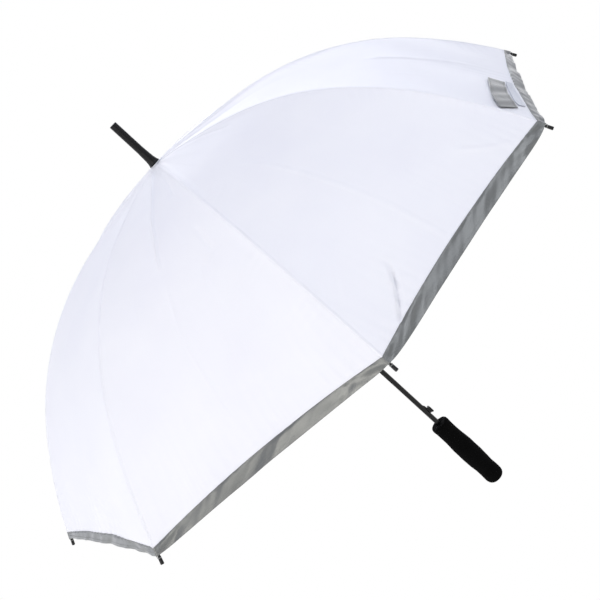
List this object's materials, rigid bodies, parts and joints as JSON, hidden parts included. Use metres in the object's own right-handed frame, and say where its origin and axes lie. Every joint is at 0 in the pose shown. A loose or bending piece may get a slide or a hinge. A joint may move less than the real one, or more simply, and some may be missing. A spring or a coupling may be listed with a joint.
{
  "type": "straight automatic umbrella",
  "caption": "Straight umbrella: white cloth canopy with a grey border on folding ribs, black shaft with push button, runner, ferrule and foam grip.",
  "frame": {"origin": "on the shaft's axis, at the middle of the grip's swell", "axes": "+Z along the shaft towards the ferrule; +X midway between rib 8 and rib 1"},
  "size_m": [0.9362, 0.9362, 0.8345],
  "materials": {
    "canopy_cloth": "satin white polyester",
    "border_cloth": "satin grey coated polyester",
    "patch_cloth": "woven hook-and-loop",
    "shaft_paint": "semi-gloss black",
    "rib_paint": "satin black",
    "wire_steel": "bright drawn wire",
    "spring_steel": "drawn wire",
    "ferrule_plastic": "moulded black",
    "tip_plastic": "moulded black",
    "hub_plastic": "moulded black nylon",
    "button_plastic": "moulded black",
    "grip_foam": "fine-celled black foam"
  },
  "bodies": {
    "shaft": {"shaft_tube": "shaft_paint", "ferrule": "ferrule_plastic", "top_washer": "canopy_cloth", "crown": "hub_plastic", "crown_wire": "wire_steel", "stop_ring": "hub_plastic", "spring_seat": "hub_plastic", "drive_spring": "spring_steel", "button_spring": "spring_steel", "handle_core": "hub_plastic", "foam_grip": "grip_foam", "end_plug": "hub_plastic"},
    "rib_1": {"rib_1": "rib_paint", "tip_1": "tip_plastic"},
    "gore_1": {"gore_1": "canopy_cloth", "border_1": "border_cloth", "closing_strap": "border_cloth", "strap_patch": "patch_cloth"},
    "stretcher_1": {"stretcher_1": "rib_paint"},
    "rib_2": {"rib_2": "rib_paint", "tip_2": "tip_plastic"},
    "gore_2": {"gore_2": "canopy_cloth", "border_2": "border_cloth"},
    "stretcher_2": {"stretcher_2": "rib_paint"},
    "rib_3": {"rib_3": "rib_paint", "tip_3": "tip_plastic"},
    "gore_3": {"gore_3": "canopy_cloth", "border_3": "border_cloth"},
    "stretcher_3": {"stretcher_3": "rib_paint"},
    "rib_4": {"rib_4": "rib_paint", "tip_4": "tip_plastic"},
    "gore_4": {"gore_4": "canopy_cloth", "border_4": "border_cloth"},
    "stretcher_4": {"stretcher_4": "rib_paint"},
    "rib_5": {"rib_5": "rib_paint", "tip_5": "tip_plastic"},
    "gore_5": {"gore_5": "canopy_cloth", "border_5": "border_cloth"},
    "stretcher_5": {"stretcher_5": "rib_paint"},
    "rib_6": {"rib_6": "rib_paint", "tip_6": "tip_plastic"},
    "gore_6": {"gore_6": "canopy_cloth", "border_6": "border_cloth"},
    "stretcher_6": {"stretcher_6": "rib_paint"},
    "rib_7": {"rib_7": "rib_paint", "tip_7": "tip_plastic"},
    "gore_7": {"gore_7": "canopy_cloth", "border_7": "border_cloth"},
    "stretcher_7": {"stretcher_7": "rib_paint"},
    "rib_8": {"rib_8": "rib_paint", "tip_8": "tip_plastic"},
    "gore_8": {"gore_8": "canopy_cloth", "border_8": "border_cloth"},
    "stretcher_8": {"stretcher_8": "rib_paint"},
    "runner": {"runner": "hub_plastic", "runner_wire": "wire_steel", "cross_pin": "wire_steel"},
    "button": {"button": "button_plastic"}
  },
  "joints": [
    {"name": "rib_1_fold", "type": "hinge", "parent": "shaft", "child": "rib_1", "pos_m": [0.00785, 0.00325, 0.67883], "axis": [-0.3827, 0.9239, 0], "range_deg": [0, 58], "stiffness_Nm_per_rad": 1.2, "springref_deg": -126.05, "deforming": ["drive_spring"]},
    {"name": "rib_2_fold", "type": "hinge", "parent": "shaft", "child": "rib_2", "pos_m": [0.00325, 0.00785, 0.67883], "axis": [-0.9239, 0.3827, 0], "range_deg": [0, 58]},
    {"name": "rib_3_fold", "type": "hinge", "parent": "shaft", "child": "rib_3", "pos_m": [-0.00325, 0.00785, 0.67883], "axis": [-0.9239, -0.3827, 0], "range_deg": [0, 58]},
    {"name": "rib_4_fold", "type": "hinge", "parent": "shaft", "child": "rib_4", "pos_m": [-0.00785, 0.00325, 0.67883], "axis": [-0.3827, -0.9239, 0], "range_deg": [0, 58]},
    {"name": "rib_5_fold", "type": "hinge", "parent": "shaft", "child": "rib_5", "pos_m": [-0.00785, -0.00325, 0.67883], "axis": [0.3827, -0.9239, 0], "range_deg": [0, 58]},
    {"name": "rib_6_fold", "type": "hinge", "parent": "shaft", "child": "rib_6", "pos_m": [-0.00325, -0.00785, 0.67883], "axis": [0.9239, -0.3827, 0], "range_deg": [0, 58]},
    {"name": "rib_7_fold", "type": "hinge", "parent": "shaft", "child": "rib_7", "pos_m": [0.00325, -0.00785, 0.67883], "axis": [0.9239, 0.3827, 0], "range_deg": [0, 58]},
    {"name": "rib_8_fold", "type": "hinge", "parent": "shaft", "child": "rib_8", "pos_m": [0.00785, -0.00325, 0.67883], "axis": [0.3827, 0.9239, 0], "range_deg": [0, 58]},
    {"name": "stretcher_1_fold", "type": "hinge", "parent": "rib_1", "child": "stretcher_1", "pos_m": [0.24312, 0.1007, 0.62715], "axis": [0.3827, -0.9239, 0], "range_deg": [0, 116]},
    {"name": "stretcher_2_fold", "type": "hinge", "parent": "rib_2", "child": "stretcher_2", "pos_m": [0.1007, 0.24312, 0.62715], "axis": [0.9239, -0.3827, 0], "range_deg": [0, 116]},
    {"name": "stretcher_3_fold", "type": "hinge", "parent": "rib_3", "child": "stretcher_3", "pos_m": [-0.1007, 0.24312, 0.62715], "axis": [0.9239, 0.3827, 0], "range_deg": [0, 116]},
    {"name": "stretcher_4_fold", "type": "hinge", "parent": "rib_4", "child": "stretcher_4", "pos_m": [-0.24312, 0.1007, 0.62715], "axis": [0.3827, 0.9239, 0], "range_deg": [0, 116]},
    {"name": "stretcher_5_fold", "type": "hinge", "parent": "rib_5", "child": "stretcher_5", "pos_m": [-0.24312, -0.1007, 0.62715], "axis": [-0.3827, 0.9239, 0], "range_deg": [0, 116]},
    {"name": "stretcher_6_fold", "type": "hinge", "parent": "rib_6", "child": "stretcher_6", "pos_m": [-0.1007, -0.24312, 0.62715], "axis": [-0.9239, 0.3827, 0], "range_deg": [0, 116]},
    {"name": "stretcher_7_fold", "type": "hinge", "parent": "rib_7", "child": "stretcher_7", "pos_m": [0.1007, -0.24312, 0.62715], "axis": [-0.9239, -0.3827, 0], "range_deg": [0, 116]},
    {"name": "stretcher_8_fold", "type": "hinge", "parent": "rib_8", "child": "stretcher_8", "pos_m": [0.24312, -0.1007, 0.62715], "axis": [-0.3827, -0.9239, 0], "range_deg": [0, 116]},
    {"name": "runner_fold", "type": "hinge", "parent": "stretcher_1", "child": "runner", "pos_m": [0.00785, 0.00325, 0.57547], "axis": [-0.3827, 0.9239, 0], "range_deg": [0, 58]},
    {"name": "gore_1_fold", "type": "hinge", "parent": "rib_1", "child": "gore_1", "pos_m": [0.00651, 0.00651, 0.67883], "axis": [-0.6294, -0.6294, -0.4558], "range_deg": [0, 42.77], "deforming": ["gore_1", "border_1", "closing_strap", "strap_patch"]},
    {"name": "gore_2_fold", "type": "hinge", "parent": "rib_2", "child": "gore_2", "pos_m": [0, 0.0092, 0.67883], "axis": [0, -0.8901, -0.4558], "range_deg": [0, 42.77], "deforming": ["gore_2", "border_2"]},
    {"name": "gore_3_fold", "type": "hinge", "parent": "rib_3", "child": "gore_3", "pos_m": [-0.00651, 0.00651, 0.67883], "axis": [0.6294, -0.6294, -0.4558], "range_deg": [0, 42.77], "deforming": ["gore_3", "border_3"]},
    {"name": "gore_4_fold", "type": "hinge", "parent": "rib_4", "child": "gore_4", "pos_m": [-0.0092, 0, 0.67883], "axis": [0.8901, 0, -0.4558], "range_deg": [0, 42.77], "deforming": ["gore_4", "border_4"]},
    {"name": "gore_5_fold", "type": "hinge", "parent": "rib_5", "child": "gore_5", "pos_m": [-0.00651, -0.00651, 0.67883], "axis": [0.6294, 0.6294, -0.4558], "range_deg": [0, 42.77], "deforming": ["gore_5", "border_5"]},
    {"name": "gore_6_fold", "type": "hinge", "parent": "rib_6", "child": "gore_6", "pos_m": [0, -0.0092, 0.67883], "axis": [0, 0.8901, -0.4558], "range_deg": [0, 42.77], "deforming": ["gore_6", "border_6"]},
    {"name": "gore_7_fold", "type": "hinge", "parent": "rib_7", "child": "gore_7", "pos_m": [0.00651, -0.00651, 0.67883], "axis": [-0.6294, 0.6294, -0.4558], "range_deg": [0, 42.77], "deforming": ["gore_7", "border_7"]},
    {"name": "gore_8_fold", "type": "hinge", "parent": "rib_8", "child": "gore_8", "pos_m": [0.0092, 0, 0.67883], "axis": [-0.8901, 0, -0.4558], "range_deg": [0, 42.77], "deforming": ["gore_8", "border_8"]},
    {"name": "button_press", "type": "slide", "parent": "shaft", "child": "button", "axis": [-0.3827, -0.9239, 0], "range_m": [0, 0.0025], "stiffness_N_per_m": 400, "springref_m": -0.002, "deforming": ["button_spring"]}
  ],
  "couplings": [
    {"joint": "rib_2_fold", "follows": "rib_1_fold", "ratio": 1},
    {"joint": "rib_3_fold", "follows": "rib_1_fold", "ratio": 1},
    {"joint": "rib_4_fold", "follows": "rib_1_fold", "ratio": 1},
    {"joint": "rib_5_fold", "follows": "rib_1_fold", "ratio": 1},
    {"joint": "rib_6_fold", "follows": "rib_1_fold", "ratio": 1},
    {"joint": "rib_7_fold", "follows": "rib_1_fold", "ratio": 1},
    {"joint": "rib_8_fold", "follows": "rib_1_fold", "ratio": 1},
    {"joint": "stretcher_1_fold", "follows": "rib_1_fold", "ratio": 2},
    {"joint": "stretcher_2_fold", "follows": "rib_1_fold", "ratio": 2},
    {"joint": "stretcher_3_fold", "follows": "rib_1_fold", "ratio": 2},
    {"joint": "stretcher_4_fold", "follows": "rib_1_fold", "ratio": 2},
    {"joint": "stretcher_5_fold", "follows": "rib_1_fold", "ratio": 2},
    {"joint": "stretcher_6_fold", "follows": "rib_1_fold", "ratio": 2},
    {"joint": "stretcher_7_fold", "follows": "rib_1_fold", "ratio": 2},
    {"joint": "stretcher_8_fold", "follows": "rib_1_fold", "ratio": 2},
    {"joint": "runner_fold", "follows": "rib_1_fold", "ratio": 1},
    {"joint": "gore_1_fold", "follows": "rib_1_fold", "ratio": 0.73738},
    {"joint": "gore_2_fold", "follows": "rib_1_fold", "ratio": 0.73738},
    {"joint": "gore_3_fold", "follows": "rib_1_fold", "ratio": 0.73738},
    {"joint": "gore_4_fold", "follows": "rib_1_fold", "ratio": 0.73738},
    {"joint": "gore_5_fold", "follows": "rib_1_fold", "ratio": 0.73738},
    {"joint": "gore_6_fold", "follows": "rib_1_fold", "ratio": 0.73738},
    {"joint": "gore_7_fold", "follows": "rib_1_fold", "ratio": 0.73738},
    {"joint": "gore_8_fold", "follows": "rib_1_fold", "ratio": 0.73738}
  ]
}
